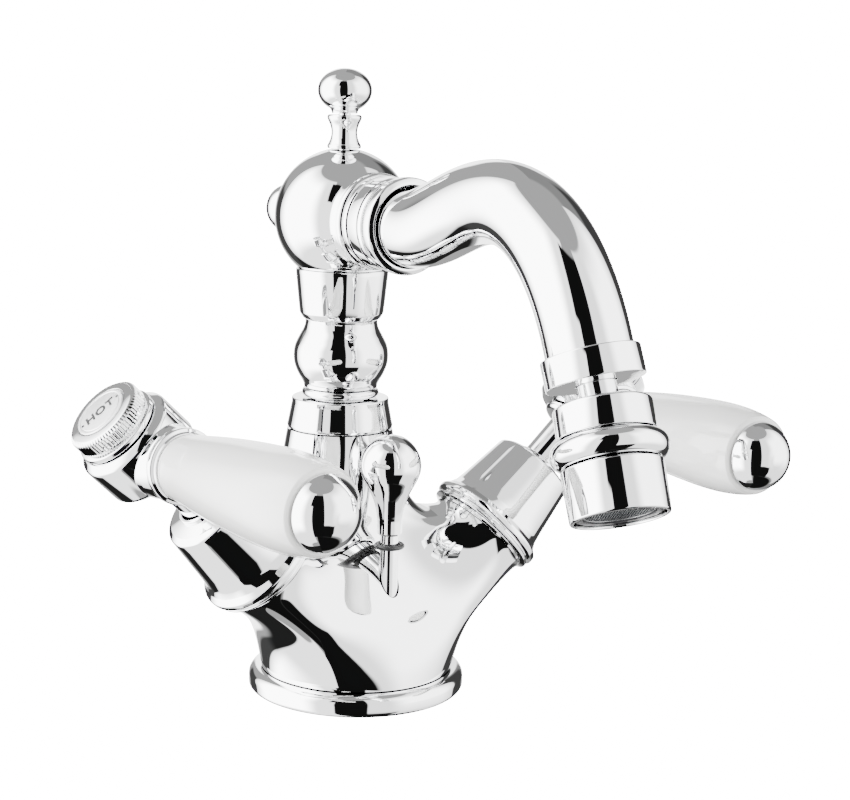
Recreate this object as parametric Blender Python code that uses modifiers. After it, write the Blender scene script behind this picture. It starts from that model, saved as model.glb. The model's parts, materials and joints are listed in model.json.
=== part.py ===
"""Deck-mounted two-handle mixer faucet with a turned column, ball head and swivel aerator.

Frame: +Z up, origin on the deck under the centre of the body, spout towards -Y, hot side at -X.
Lengths are written in millimetres and multiplied by MM.
"""
from math import cos, pi, radians, sin

import bmesh
import bpy
from mathutils import Matrix, Vector

MM = 0.001
GAP = 0.3

# Base and body
FLANGE_R = 30.0
BODY_Z0 = 6.3
BODY_FOOT_R = 26.7
SPIGOT_R = 22.0
INLET_X = 10.0
INLET_Y = -7.7
INLET_R = 5.0
STUD_Y = 13.0
STUD_R = 4.25

# Swivel column
COLUMN_Y = 10.7
NECK_R = 14.7
NECK_Z = 71.6
COLUMN_BORE_R = 9.5
TUBE_R = 7.9
BALL_Z = 130.4
BALL_R = 18.7
TOP_Z = 170.5

# Valves
VALVE_TILT = 46.4
VALVE_LEAN = -2.9
VALVE_Y = -7.2
VALVE_Z = 8.6
ARM_R = 14.6
ARM_S = 47.3
POCKET_R = 10.0
LEVER_S = 95.6
LEVER_TOE = 3.3

# Spout
SPOUT_R = 10.4
SPOUT_WALL = 1.3
SPOUT_APEX = (-61.8, 139.7)
SPOUT_END = (-97.3, 111.4)
OUTLET_TILT = 23.2
COLLAR_BOTTOM = (-101.5, 101.5)
PIVOT_DROP = 9.6
SEAT_BALL_R = 6.6
AERATOR_TILT = 26.0
AERATOR_SWAY = -6.1

# Lift rod
ROD_Y = -16.0
ROD_R = 2.5

for old in list(bpy.data.objects):
    bpy.data.objects.remove(old, do_unlink=True)
PARTS = bpy.data.collections.new("mixer_faucet")
CUTTERS = bpy.data.collections.new("cutters")
bpy.context.scene.collection.children.link(PARTS)
bpy.context.scene.collection.children.link(CUTTERS)


def finish_material(name, color, metallic, roughness):
    mat = bpy.data.materials.new(name)
    mat.use_nodes = True
    shader = mat.node_tree.nodes["Principled BSDF"]
    shader.inputs["Base Color"].default_value = (*color, 1.0)
    shader.inputs["Metallic"].default_value = metallic
    shader.inputs["Roughness"].default_value = roughness
    return mat


FINISHES = {
    "chrome": ((0.80, 0.81, 0.82), 1.0, 0.06),
    "brass": ((0.72, 0.53, 0.25), 1.0, 0.25),
    "steel": ((0.55, 0.56, 0.57), 1.0, 0.30),
    "porcelain": ((0.88, 0.87, 0.84), 0.0, 0.08),
    "ceramic": ((0.85, 0.84, 0.80), 0.0, 0.25),
    "rubber": ((0.02, 0.02, 0.02), 0.0, 0.60),
    "plastic": ((0.75, 0.75, 0.72), 0.0, 0.45),
    "dark_plastic": ((0.08, 0.08, 0.09), 0.0, 0.50),
}


def empty(name, location, rotation=None, parent=None):
    """A frame for pieces that share an axis: its local +Z is the axis."""
    obj = bpy.data.objects.new(name, None)
    obj.location = Vector(location) * MM
    obj.rotation_mode = "QUATERNION"
    if rotation is not None:
        obj.rotation_quaternion = rotation
    obj.parent = parent
    PARTS.objects.link(obj)
    return obj


def aim(axis, side):
    """Rotation that takes local +Z to axis and local +X as near as it can to side."""
    z = Vector(axis).normalized()
    x = Vector(side) - z * Vector(side).dot(z)
    x.normalize()
    y = z.cross(x)
    return Matrix((x, y, z)).transposed().to_quaternion()


def register(name, mesh, finish, parent=None, cutter=False):
    obj = bpy.data.objects.new(name, mesh)
    obj.parent = parent
    if cutter:
        CUTTERS.objects.link(obj)
        obj.hide_render = True
        obj.display_type = "WIRE"
        return obj
    PARTS.objects.link(obj)
    mesh.materials.append(finish_material(name, *FINISHES[finish]))
    return obj


def turned(name, profile, finish, parent=None, segments=20, cutter=False):
    """A lathe piece: (radius, height) points run down the outer side; a ring's outline closes up its bore."""
    mesh = bpy.data.meshes.new(name)
    points = [(r * MM, 0.0, h * MM) for r, h in profile]
    edges = [(i, i + 1) for i in range(len(points) - 1)]
    if profile[0][0] > 0.0:
        edges.append((len(points) - 1, 0))
    mesh.from_pydata(points, edges, [])
    obj = register(name, mesh, finish, parent, cutter)
    if cutter:
        obj.rotation_euler.z = 0.11
    screw = obj.modifiers.new("turn", "SCREW")
    screw.axis = "Z"
    screw.angle = 2 * pi
    screw.steps = segments
    screw.render_steps = segments
    screw.use_merge_vertices = True
    screw.merge_threshold = 0.00001
    screw.use_smooth_shade = True
    if not cutter:
        smooth = obj.modifiers.new("weld", "WELD")
        smooth.merge_threshold = 0.00001
    return obj


def cut(obj, cutters):
    for tool in cutters:
        mod = obj.modifiers.new("cut " + tool.name, "BOOLEAN")
        mod.operation = "DIFFERENCE"
        mod.solver = "EXACT"
        mod.object = tool


def join(obj, tool):
    mod = obj.modifiers.new("join " + tool.name, "BOOLEAN")
    mod.operation = "UNION"
    mod.solver = "EXACT"
    mod.object = tool


def arc(radius, centre_h, start, end, count, centre_r=0.0):
    """Points on a circle, angles in degrees from the radial direction towards +height."""
    turns = [radians(start + (end - start) * i / (count - 1)) for i in range(count)]
    return [(centre_r + radius * cos(t), centre_h + radius * sin(t)) for t in turns]


def bead(inner, outer, low, high, count=5):
    """A ring with a half-round outer side."""
    half = (high - low) / 2
    flat = max(outer - half, inner + 0.4)
    points = []
    for i in range(count):
        t = radians(80 - 160 * i / (count - 1))
        points.append((flat + (outer - flat) * cos(t), (low + high) / 2 + half * sin(t) / sin(radians(80))))
    return [(inner, high)] + points + [(inner, low)]


def rod_between(name, start, end, radius, segments=10):
    """A straight cutter cylinder from start to end."""
    start = Vector(start)
    run = Vector(end) - start
    tool = turned(name, [(0, run.length), (radius, run.length), (radius, 0), (0, 0)], None,
                  segments=segments, cutter=True)
    tool.location = start * MM
    tool.rotation_mode = "QUATERNION"
    tool.rotation_quaternion = aim(run, (0.3, 1.0, 0.2))
    return tool


# ---------------------------------------------------------------- axes

def valve_direction(side):
    tilt = radians(VALVE_TILT)
    lean = radians(VALVE_LEAN)
    return Vector((side * sin(tilt), cos(tilt) * sin(lean), cos(tilt) * cos(lean)))


def lever_direction(side):
    axis = valve_direction(side)
    forward = Vector((0, -1, 0))
    forward = (forward - axis * forward.dot(axis)).normalized()
    return Matrix.Rotation(radians(side * -LEVER_TOE), 3, axis) @ forward


def tilted(tilt, sway):
    t = radians(tilt)
    s = radians(sway)
    return Vector((sin(s), -sin(t) * cos(s), -cos(t) * cos(s)))


COLUMN = empty("column_axis", (0, COLUMN_Y, 0))
OUTLET = Vector((0, -sin(radians(OUTLET_TILT)), -cos(radians(OUTLET_TILT))))
COLLAR = Vector((0, COLLAR_BOTTOM[0], COLLAR_BOTTOM[1]))
PIVOT = COLLAR + OUTLET * PIVOT_DROP
OUTLET_AXIS = empty("outlet_axis", COLLAR, aim(OUTLET, (1, 0, 0)))
STEM_AXIS = empty("stem_axis", PIVOT, aim(OUTLET, (1, 0, 0)))
AERATOR_AXIS = empty("aerator_axis", PIVOT, aim(tilted(AERATOR_TILT, AERATOR_SWAY), (1, 0, 0)))
SPOUT_AXIS = empty("spout_axis", (0, COLUMN_Y, BALL_Z), aim((0, -1, 0), (1, 0, 0)))
REAR_AXIS = empty("rear_axis", (0, COLUMN_Y, BALL_Z), aim((0, 1, 0), (1, 0, 0)))
ROD_AXIS = empty("rod_axis", (0, ROD_Y, 0))


# ---------------------------------------------------------------- body

def ring_on(centre, across, up, radius):
    """Eight cage points round a circle, in the order the cage uses."""
    points = {}
    for i in (-1, 0, 1):
        for k in (-1, 0, 1):
            if i or k:
                d = Vector((i, k)).normalized() * radius / 0.9024
                points[(i, k)] = Vector(centre) + Vector(across) * d.x + Vector(up) * d.y
    points[(0, 0)] = Vector(centre)
    return points


def body_cage():
    """The casting's control cage: a block of 26 points with a foot, a neck and two arms pulled out of it."""
    rows = {
        -1: ((25.2, -23.9), (0, -27.4), (30.2, 0), (23.5, 24.7), (0, 29.6)),
        0: ((23.9, -21.5), (0, -13.9), (0, 0), (22.8, 15.5), (0, 31.7)),
        1: ((15.9, -12.0), (0, -4.4), (19.1, 0.5), (16.0, 18.6), (0, 29.2)),
    }
    heights = {-1: 19.4, 0: 32.7, 1: 48.5}
    grid = {}
    for k, (corner_f, mid_f, side, corner_b, mid_b) in rows.items():
        z = heights[k]
        for i in (-1, 1):
            grid[(i, -1, k)] = Vector((i * corner_f[0], corner_f[1], z))
            grid[(i, 0, k)] = Vector((i * side[0], side[1], z))
            grid[(i, 1, k)] = Vector((i * corner_b[0], corner_b[1], z))
        grid[(0, -1, k)] = Vector((0, mid_f[1], z))
        grid[(0, 1, k)] = Vector((0, mid_b[1], z))

    bm = bmesh.new()
    verts = {}
    crease_rings = []

    def vert(key, point):
        verts[key] = bm.verts.new(Vector(point) * MM)
        return verts[key]

    for key, point in grid.items():
        if key[1] == 0 and key[2] == 0:
            continue
        vert(key, point)

    def quad(*corners):
        bm.faces.new([verts[c] for c in corners])

    for j in (-1, 1):
        for i in (-1, 0):
            for k in (-1, 0):
                loop = [(i, j, k), (i + 1, j, k), (i + 1, j, k + 1), (i, j, k + 1)]
                quad(*(loop if j < 0 else loop[::-1]))

    order = [(-1, -1), (0, -1), (1, -1), (1, 0), (1, 1), (0, 1), (-1, 1), (-1, 0)]

    def tube(start, rings, tag):
        """Bridge ring after ring from the block, then close the last one; tag names the new points."""
        last = start
        for n, (points, sharp) in enumerate(rings):
            new = {}
            for o in order:
                new[o] = (tag, n) + o
                vert(new[o], points[o])
            for a, b in zip(order, order[1:] + order[:1]):
                quad(last[a], last[b], new[b], new[a])
            if sharp:
                crease_rings.append([verts[new[o]] for o in order])
            last = new
        centre = (tag, "end")
        vert(centre, rings[-1][0][(0, 0)])
        for a, b, c in ((0, 1, 7), (2, 3, 1), (4, 5, 3), (6, 7, 5)):
            quad(last[order[a]], last[order[b]], centre, last[order[c]])

    x = Vector((1, 0, 0))
    y = Vector((0, 1, 0))
    foot = [(ring_on((0, 0, BODY_Z0), x, y, BODY_FOOT_R), True),
            (ring_on((0, 0, BODY_Z0), x, y, SPIGOT_R), True),
            (ring_on((0, 0, 0), x, y, SPIGOT_R), True)]
    neck = [(ring_on((0, COLUMN_Y, 54.6), x, y, 17.6), False),
            (ring_on((0, COLUMN_Y, NECK_Z), x, y, NECK_R), True)]
    tube({o: (o[0], o[1], -1) for o in order}, foot, "foot")
    tube({o: (o[0], o[1], 1) for o in order}, neck, "neck")
    for side in (-1, 1):
        axis = valve_direction(side)
        front = Vector((0, 1, 0))
        front = (front - axis * front.dot(axis)).normalized()
        up = axis.cross(front) * side
        up = up if up.z > 0 else -up
        origin = Vector((0, VALVE_Y, VALVE_Z))
        arm = [(ring_on(origin + axis * 45.7, front, up, 13.9), False),
               (ring_on(origin + axis * ARM_S, front, up, ARM_R), True)]
        tube({o: (side, o[0], o[1]) for o in order}, arm, "arm%+d" % side)

    bmesh.ops.recalc_face_normals(bm, faces=bm.faces)
    crease = bm.edges.layers.float.new("crease_edge")
    for ring in crease_rings:
        for a, b in zip(ring, ring[1:] + ring[:1]):
            bm.edges.get((a, b))[crease] = 1.0
    mesh = bpy.data.meshes.new("mixer_body")
    bm.to_mesh(mesh)
    bm.free()
    return mesh


def build_base():
    turned("base_flange", [(SPIGOT_R + GAP, 6.0), (27.9, 6.0), (29.3, 5.2), (FLANGE_R, 3.6), (FLANGE_R, 2.0),
                           (29.4, 0.6), (28.6, 0.0), (27.2, 0.0), (27.2, 1.6), (23.6, 1.6),
                           (23.6, 0.0), (SPIGOT_R + GAP, 0.0)], "chrome", segments=24)
    turned("base_seal", [(23.9, 1.3), (26.9, 1.3), (26.9, 0.0), (23.9, 0.0)], "rubber", segments=20)
    body = register("mixer_body", body_cage(), "chrome")
    surface = body.modifiers.new("smooth surface", "SUBSURF")
    surface.levels = 2
    surface.render_levels = 2
    tools = [
        turned("bore_column", [(0, 80), (COLUMN_BORE_R, 80), (COLUMN_BORE_R, 50), (6.0, 50), (6.0, 36),
                               (0, 36)], None, COLUMN, 16, True),
        turned("bore_rod", [(0, 60), (2.9, 60), (2.9, 10), (4.3, 10), (4.3, -1), (0, -1)], None,
               ROD_AXIS, 14, True),
        rod_between("hole_stud", (0, STUD_Y, -1), (0, STUD_Y, 14), STUD_R),
    ]
    for side, word in ((-1, "hot"), (1, "cold")):
        axis = valve_direction(side)
        origin = Vector((0, VALVE_Y, VALVE_Z))
        frame = bpy.data.objects[word + "_valve_axis"]
        tools.append(turned("pocket_" + word, [(0, 60), (POCKET_R, 60), (POCKET_R, 27), (4.0, 27), (4.0, 12),
                                               (0, 12)], None, frame, 14, True))
        tools.append(rod_between("inlet_" + word, (side * INLET_X, INLET_Y, -1),
                                 (side * INLET_X, INLET_Y, 17), INLET_R))
        tools.append(rod_between("passage_" + word, origin + axis * 32, (0, COLUMN_Y, 43), 3.2, 8))
    cut(body, tools)
    turned("swivel_bush", [(8.2, 71.2), (9.2, 71.2), (9.2, 62.6), (8.2, 62.6)], "plastic", COLUMN, 16)
    turned("rod_guide", [(2.8, 9.7), (4.0, 9.7), (4.0, 1.0), (2.8, 1.0)], "plastic", ROD_AXIS, 14)


# ---------------------------------------------------------------- column, ball and spout

def build_column():
    bore = TUBE_R + GAP
    turned("swivel_cup", [(bore, 80.3), (12.9, 80.3), (13.5, 79.6), (13.7, 77.5), (14.3, 74.0), (14.7, 72.4),
                          (14.5, 71.9), (bore, 71.9)], "chrome", COLUMN, 18)
    turned("column_ring", bead(bore, 10.6, 80.6, 83.0, 4), "chrome", COLUMN, 18)
    turned("column_bulb", [(bore, 102.2), (10.1, 102.2), (10.0, 101.4), (10.5, 99.4), (11.9, 97.0),
                           (13.0, 94.0), (13.1, 91.0), (12.2, 87.8), (11.0, 85.4), (10.4, 83.9),
                           (10.2, 83.3), (bore, 83.3)], "chrome", COLUMN, 18)
    turned("upper_cup", [(bore, 113.0), (12.2, 116.1), (12.7, 115.8), (12.7, 114.6), (12.2, 111.0),
                         (11.8, 106.0), (11.3, 103.6), (10.6, 102.5), (bore, 102.5)],
           "chrome", COLUMN, 18)
    turned("column_tube", [(5.5, 117.0), (TUBE_R, 117.0), (TUBE_R, 50.9), (TUBE_R - 0.5, 50.4), (5.5, 50.4)],
           "brass", COLUMN, 16)
    for word, height in (("lower", 52.5), ("upper", 57.5)):
        turned("column_oring_" + word, arc(0.5, height, 60, -240, 6, 8.7), "rubber", COLUMN, 16)

    head = turned("ball_head", [(0, BALL_R)] + arc(BALL_R, 0, 76, -76, 11) + [(0, -BALL_R)],
                  "chrome", SPOUT_AXIS, 24)
    boss = turned("ball_boss", [(0, 16.0), (11.9, 16.0), (11.9, 10.5), (0, 10.5)], None, SPOUT_AXIS, 22, True)
    join(head, boss)
    chamber = turned("ball_chamber", [(0, 20), (10.9, 20), (10.9, 11.0)] + arc(15.0, 0, 42, -76, 5)
                     + [(0, -15.0)], None, SPOUT_AXIS, 16, True)
    bottom = turned("ball_bottom_bore", [(0, 120.5), (TUBE_R + GAP, 120.5), (TUBE_R + GAP, 105), (0, 105)],
                    None, COLUMN, 16, True)
    top = turned("ball_top_bore", [(0, 155), (1.9, 155), (1.9, 140), (0, 140)], None, COLUMN, 12, True)
    rear = turned("ball_rear_bore", [(0, 24), (2.9, 24), (2.9, 12), (0, 12)], None, REAR_AXIS, 12, True)
    cut(head, [chamber, bottom, top, rear])

    turned("finial_sleeve", [(1.9, 158.0), (4.4, 158.0), (4.7, 157.2), (3.7, 154.8), (3.5, 153.4),
                             (4.0, 151.2), (4.6, 149.6), (4.5, 148.9), (1.9, 149.4)],
           "chrome", COLUMN, 16)
    turned("finial_knob", [(0, TOP_Z), (2.8, 170.1), (5.6, 168.2), (7.2, 165.8), (7.3, 163.4), (6.0, 161.0),
                           (3.9, 159.5), (3.5, 158.9), (3.5, 158.3), (1.6, 158.3), (1.6, 144.0),
                           (0, 144.0)], "chrome", COLUMN, 16)
    turned("rear_knob", [(0, 35.9), (2.9, 35.3), (5.4, 33.5), (6.9, 30.6), (7.0, 28.0), (6.0, 25.2),
                         (4.4, 23.2), (4.2, 21.4), (5.2, 19.6), (5.6, 18.3), (2.6, 19.1), (2.6, 13.5),
                         (0, 13.5)], "chrome", REAR_AXIS, 14)


def spout_tube():
    curve = bpy.data.curves.new("spout_tube", "CURVE")
    curve.dimensions = "3D"
    curve.bevel_depth = SPOUT_R * MM
    curve.bevel_resolution = 3
    curve.resolution_u = 6
    curve.twist_mode = "Z_UP"
    end_dir = Vector((OUTLET.y, OUTLET.z))
    stops = [
        (Vector((-2.0, BALL_Z)), Vector((1, 0)), 5.0, 5.0),
        (Vector((-23.5, BALL_Z - 0.1)), Vector((-1, -0.02)), 5.0, 13.0),
        (Vector(SPOUT_APEX), Vector((-1, 0)), 15.0, 17.5),
        (Vector(SPOUT_END), end_dir, 16.0, 2.0),
        (Vector(COLLAR_BOTTOM) - end_dir * 2.8, end_dir, 2.0, 2.0),
    ]
    spline = curve.splines.new("BEZIER")
    spline.bezier_points.add(len(stops) - 1)
    for point, (place, direction, back, ahead) in zip(spline.bezier_points, stops):
        step = direction.normalized()
        if place.x == -2.0:
            step = Vector((-1, 0))
        point.handle_left_type = "FREE"
        point.handle_right_type = "FREE"
        point.co = Vector((0, place.x, place.y)) * MM
        point.handle_left = Vector((0, (place - step * back).x, (place - step * back).y)) * MM
        point.handle_right = Vector((0, (place + step * ahead).x, (place + step * ahead).y)) * MM
    bent = bpy.data.objects.new("spout_path", curve)
    PARTS.objects.link(bent)
    bpy.context.view_layer.update()
    depsgraph = bpy.context.evaluated_depsgraph_get()
    mesh = bpy.data.meshes.new_from_object(bent.evaluated_get(depsgraph))
    bpy.data.objects.remove(bent, do_unlink=True)
    bm = bmesh.new()
    bm.from_mesh(mesh)
    bmesh.ops.remove_doubles(bm, verts=bm.verts, dist=0.000005)
    bmesh.ops.recalc_face_normals(bm, faces=bm.faces)
    bm.to_mesh(mesh)
    bm.free()
    mesh.name = "spout_tube"
    mesh.materials.clear()
    tube = register("spout_tube", mesh, "chrome")
    wall = tube.modifiers.new("wall", "SOLIDIFY")
    wall.thickness = SPOUT_WALL * MM
    wall.offset = -1.0
    wall.use_even_offset = True
    return tube


def build_spout():
    bore = 10.9
    turned("spout_ring", bead(bore, 12.9, 16.3, 19.4, 4), "chrome", SPOUT_AXIS, 18)
    turned("spout_sleeve", [(bore, 28.7), (11.9, 28.7), (12.3, 28.1), (12.3, 20.2), (11.9, 19.7),
                            (bore, 19.7)], "chrome", SPOUT_AXIS, 18)
    turned("spout_bead", [(bore, 34.0), (11.6, 34.0), (12.4, 33.3), (12.75, 31.9), (12.4, 30.5),
                          (11.5, 29.9), (11.5, 29.0), (bore, 29.0)], "chrome", SPOUT_AXIS, 18)
    spout_tube()
    turned("end_collar", [(4.95, 0.0), (4.95, -2.2), (10.8, -2.2), (10.8, -7.0), (11.5, -7.0),
                          (11.8, -6.6), (11.8, -0.5), (11.4, 0.0)][::-1], "chrome", OUTLET_AXIS, 18)
    stem = [(2.8, 5.95)] + [(SEAT_BALL_R * cos(radians(a)), SEAT_BALL_R * sin(radians(a)))
                            for a in (60, 42, 22, 0, -20, -45)]
    turned("ball_stem", stem + [(4.6, -12.4), (2.8, -12.4)], "chrome", STEM_AXIS, 16)


# ---------------------------------------------------------------- aerator

def on_sphere(radius, angles):
    """Profile points on a sphere about the axis origin, at angles from its equator."""
    return [(radius * cos(radians(a)), radius * sin(radians(a))) for a in angles]


def build_aerator():
    liner_r = SEAT_BALL_R + GAP
    turned("seat_liner", on_sphere(liner_r + 1.0, (13, 4, -4, -13)) + on_sphere(liner_r, (-13, 0, 13)),
           "plastic", STEM_AXIS, 16)
    turned("aerator_housing", [(8.0, 12.0), (9.2, 12.0), (9.2, 2.75), (11.3, 2.75), (11.6, 2.4),
                               (11.6, -4.0), (11.2, -4.6), (6.1, -4.6), (6.1, -3.7)]
           + on_sphere(8.4, (-25, -12, 0, 12, 26)) + [(8.0, 4.4)], "chrome", AERATOR_AXIS, 18)
    turned("aerator_bead", bead(9.5, 13.85, 3.05, 9.7, 6), "chrome", AERATOR_AXIS, 18)
    turned("aerator_sleeve", [(10.6, 21.3), (10.9, 22.1), (11.4, 22.1), (11.75, 21.5), (11.9, 16.0),
                              (12.0, 10.4), (11.7, 10.0), (9.5, 10.0), (9.5, 12.6), (10.6, 12.6)],
           "chrome", AERATOR_AXIS, 18)
    turned("aerator_washer", [(5.5, 13.7), (10.2, 13.7), (10.2, 12.9), (5.5, 12.9)], "rubber",
           AERATOR_AXIS, 14)
    turned("aerator_insert", [(8.6, 21.3), (10.2, 21.3), (10.2, 14.0), (5.5, 14.0), (5.5, 16.0),
                              (8.6, 16.0)], "dark_plastic", AERATOR_AXIS, 14)
    turned("aerator_screen", [(0, 20.9), (8.3, 20.9), (8.3, 20.1), (0, 20.1)], "steel", AERATOR_AXIS, 14)


# ---------------------------------------------------------------- valves and levers

def build_valve(word, valve):
    turned(word + "_seat_seal", [(4.5, 29.2), (9.0, 29.2), (9.0, 27.3), (4.5, 27.3)], "rubber", valve, 14)
    fixed = turned(word + "_fixed_disc", [(0, 32.4), (8.4, 32.4), (8.4, 29.5), (0, 29.5)],
                   "ceramic", valve, 16)
    moving = turned(word + "_moving_disc", [(0, 35.6), (8.4, 35.6), (8.4, 32.7), (0, 32.7)],
                    "ceramic", None, 16)
    turned(word + "_cartridge", [(5.4, 71.0), (8.2, 71.0), (8.2, 54.0), (11.4, 54.0), (11.4, 47.8),
                                 (9.6, 47.8), (9.6, 29.6), (8.8, 29.6), (8.8, 38.6), (5.4, 38.6)],
           "brass", valve, 16)
    turned(word + "_bell", [(5.6, 75.2), (6.6, 74.6), (6.5, 73.9), (10.4, 73.5), (11.7, 72.4),
                            (12.3, 70.2), (12.9, 65.0), (14.0, 58.0), (14.8, 54.6), (15.7, 53.2),
                            (16.8, 51.9), (16.9, 50.3), (16.2, 49.0), (15.2, 48.5), (13.0, 48.5),
                            (12.6, 54.6), (10.6, 71.2), (8.6, 72.0), (5.6, 72.0)], "chrome", valve, 18)
    return fixed, moving


def build_handle(word, side, valve):
    lever = empty(word + "_lever_axis", (0, 0, LEVER_S), None, valve)
    lever.rotation_quaternion = (valve.rotation_quaternion.inverted()
                                 @ aim(lever_direction(side), valve_direction(side)))
    fixed, moving = build_valve(word, valve)
    moving.parent = valve
    for n, x in enumerate((-1, 1)):
        port = turned("port_%s_%d" % (word, n), [(0, 34), (2.1, 34), (2.1, 28), (0, 28)], None, valve, 10, True)
        port.location = (0.0, x * 4.6 * MM, 0.0)
        notch = turned("notch_%s_%d" % (word, n), [(0, 37), (2.3, 37), (2.3, 32), (0, 32)], None,
                       valve, 10, True)
        notch.location = (x * 4.6 * MM, 0.0, 0.0)
        cut(fixed, [port])
        cut(moving, [notch])
    spindle = turned(word + "_spindle", [(0, 99.6), (5.0, 99.6), (5.0, 38.3), (8.3, 38.3), (8.3, 36.0),
                                         (0, 36.0)], "chrome", valve, 14)
    thread = turned("thread_" + word, [(0, 101), (2.4, 101), (2.4, 86), (0, 86)], None, valve, 12, True)
    cut(spindle, [thread])
    turned(word + "_washer", [(5.3, 91.2), (7.6, 91.2), (8.5, 90.6), (8.6, 89.6), (7.8, 88.8), (5.3, 88.8)],
           "chrome", valve, 18)
    hub = turned(word + "_hub", [(6.6, 106.0), (11.6, 106.0), (13.2, 103.9), (13.2, 93.8), (11.8, 91.5),
                                 (5.3, 91.5), (5.3, 99.9), (2.5, 99.9), (2.5, 102.4), (6.6, 102.4)],
                 "chrome", valve, 18)
    boss = turned("boss_" + word, [(0, 15.4), (9.0, 15.4), (9.0, 9.4), (0, 9.4)], None, lever, 20, True)
    bore = turned("boss_bore_" + word, [(0, 18), (3.0, 18), (3.0, 7.8), (0, 7.8)], None, lever, 12, True)
    join(hub, boss)
    cut(hub, [bore])
    turned(word + "_handle_screw", [(0, 105.4), (3.4, 105.4), (4.2, 104.8), (4.2, 102.7), (2.1, 102.7),
                                    (2.1, 88.0), (0, 88.0)], "steel", valve, 12)
    turned(word + "_index_cap", [(7.3, 113.0), (9.4, 112.7), (10.5, 111.7), (10.5, 108.8), (10.1, 108.4),
                                 (11.1, 107.4), (10.8, 106.3), (6.2, 106.3), (6.2, 104.2), (5.0, 104.2),
                                 (5.0, 110.8), (7.3, 111.9)], "chrome", valve, 18)
    turned(word + "_index_disc", [(0, 113.3), (7.0, 113.3), (7.0, 112.2), (0, 112.2)],
           "chrome", valve, 18)
    turned(word + "_lever_core", [(0, 80.5), (2.5, 80.5), (2.5, 19.5), (8.4, 19.5), (9.3, 18.9), (9.6, 17.8),
                                  (9.2, 16.4), (8.6, 15.7), (2.6, 15.7), (2.6, 8.2), (0, 8.2)],
           "chrome", lever, 16)
    turned(word + "_porcelain", [(2.8, 78.5), (9.2, 78.5), (10.2, 77.7), (11.3, 71.5), (11.7, 65.0),
                                 (11.6, 58.0), (11.2, 49.0), (10.6, 41.0), (9.8, 33.5), (9.0, 27.0),
                                 (8.5, 21.5), (8.3, 19.9), (2.8, 19.9)], "porcelain", lever, 18)
    turned(word + "_lever_tip", [(0, 86.3), (2.6, 85.9), (5.2, 84.8), (7.4, 82.9), (8.6, 80.6), (8.9, 78.8),
                                 (2.8, 78.8), (2.8, 81.0), (0, 81.0)], "chrome", lever, 16)


# ---------------------------------------------------------------- lift rod

def build_lift_rod():
    turned("lift_rod", [(0, 60.0), (2.5, 60.0), (2.5, 1.5), (0, 1.5)], "chrome", ROD_AXIS, 14)
    turned("lift_knob", [(0, 74.0), (3.2, 73.4), (6.2, 71.2), (8.1, 67.8), (8.2, 64.6), (7.2, 61.8),
                         (5.2, 57.8), (3.9, 54.6), (3.4, 51.5), (3.4, 47.4), (3.2, 46.6), (2.8, 46.6),
                         (2.8, 60.4), (0, 60.4)], "chrome", ROD_AXIS, 16)
    turned("lift_oring", arc(0.65, 43.5, 72, -216, 5, 3.5), "rubber", ROD_AXIS, 16)


for side, word in ((-1, "hot"), (1, "cold")):
    empty(word + "_valve_axis", (0, VALVE_Y, VALVE_Z),
          aim(valve_direction(side), (0, 0, 1)))
bpy.context.view_layer.update()

build_base()
build_column()
build_spout()
build_aerator()
for side, word in ((-1, "hot"), (1, "cold")):
    build_handle(word, side, bpy.data.objects[word + "_valve_axis"])
build_lift_rod()
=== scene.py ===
"""Looks of the deck-mounted two-handle mixer faucet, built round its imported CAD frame.

World units are metres, +Z up. Shapes are given in millimetres, as (radius, height along the part's own axis).
"""
import json
from math import ceil, cos, pi, radians, sin, tan

import bmesh
import bpy
import numpy as np
from mathutils import Matrix, Vector


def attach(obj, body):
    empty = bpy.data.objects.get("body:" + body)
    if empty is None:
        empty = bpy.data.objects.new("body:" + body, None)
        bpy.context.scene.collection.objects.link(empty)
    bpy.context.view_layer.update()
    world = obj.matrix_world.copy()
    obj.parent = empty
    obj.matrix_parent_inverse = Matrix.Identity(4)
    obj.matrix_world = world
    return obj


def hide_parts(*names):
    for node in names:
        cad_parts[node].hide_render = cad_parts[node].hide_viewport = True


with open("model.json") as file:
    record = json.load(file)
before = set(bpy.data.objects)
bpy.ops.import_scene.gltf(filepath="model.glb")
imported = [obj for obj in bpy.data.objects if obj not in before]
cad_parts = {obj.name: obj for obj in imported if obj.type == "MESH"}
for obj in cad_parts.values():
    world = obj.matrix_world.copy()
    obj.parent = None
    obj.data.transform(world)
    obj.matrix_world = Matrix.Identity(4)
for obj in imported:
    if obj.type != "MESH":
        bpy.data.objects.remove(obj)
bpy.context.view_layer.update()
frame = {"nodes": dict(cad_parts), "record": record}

MM = 0.001

# ---------------------------------------------------------------- camera
AIM_POINT = Vector((0.0213, 0.0, 0.0792))
VIEW_AZ = radians(-33.92)
VIEW_EL = radians(10.33)
VIEW_ROLL = radians(1.36)
VIEW_DISTANCE = 0.5258
LENS = 79.33

BACK = Vector((sin(VIEW_AZ) * cos(VIEW_EL), -cos(VIEW_AZ) * cos(VIEW_EL), sin(VIEW_EL)))
LEVEL_RIGHT = Vector((cos(VIEW_AZ), sin(VIEW_AZ), 0))
LEVEL_UP = BACK.cross(LEVEL_RIGHT)


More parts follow.
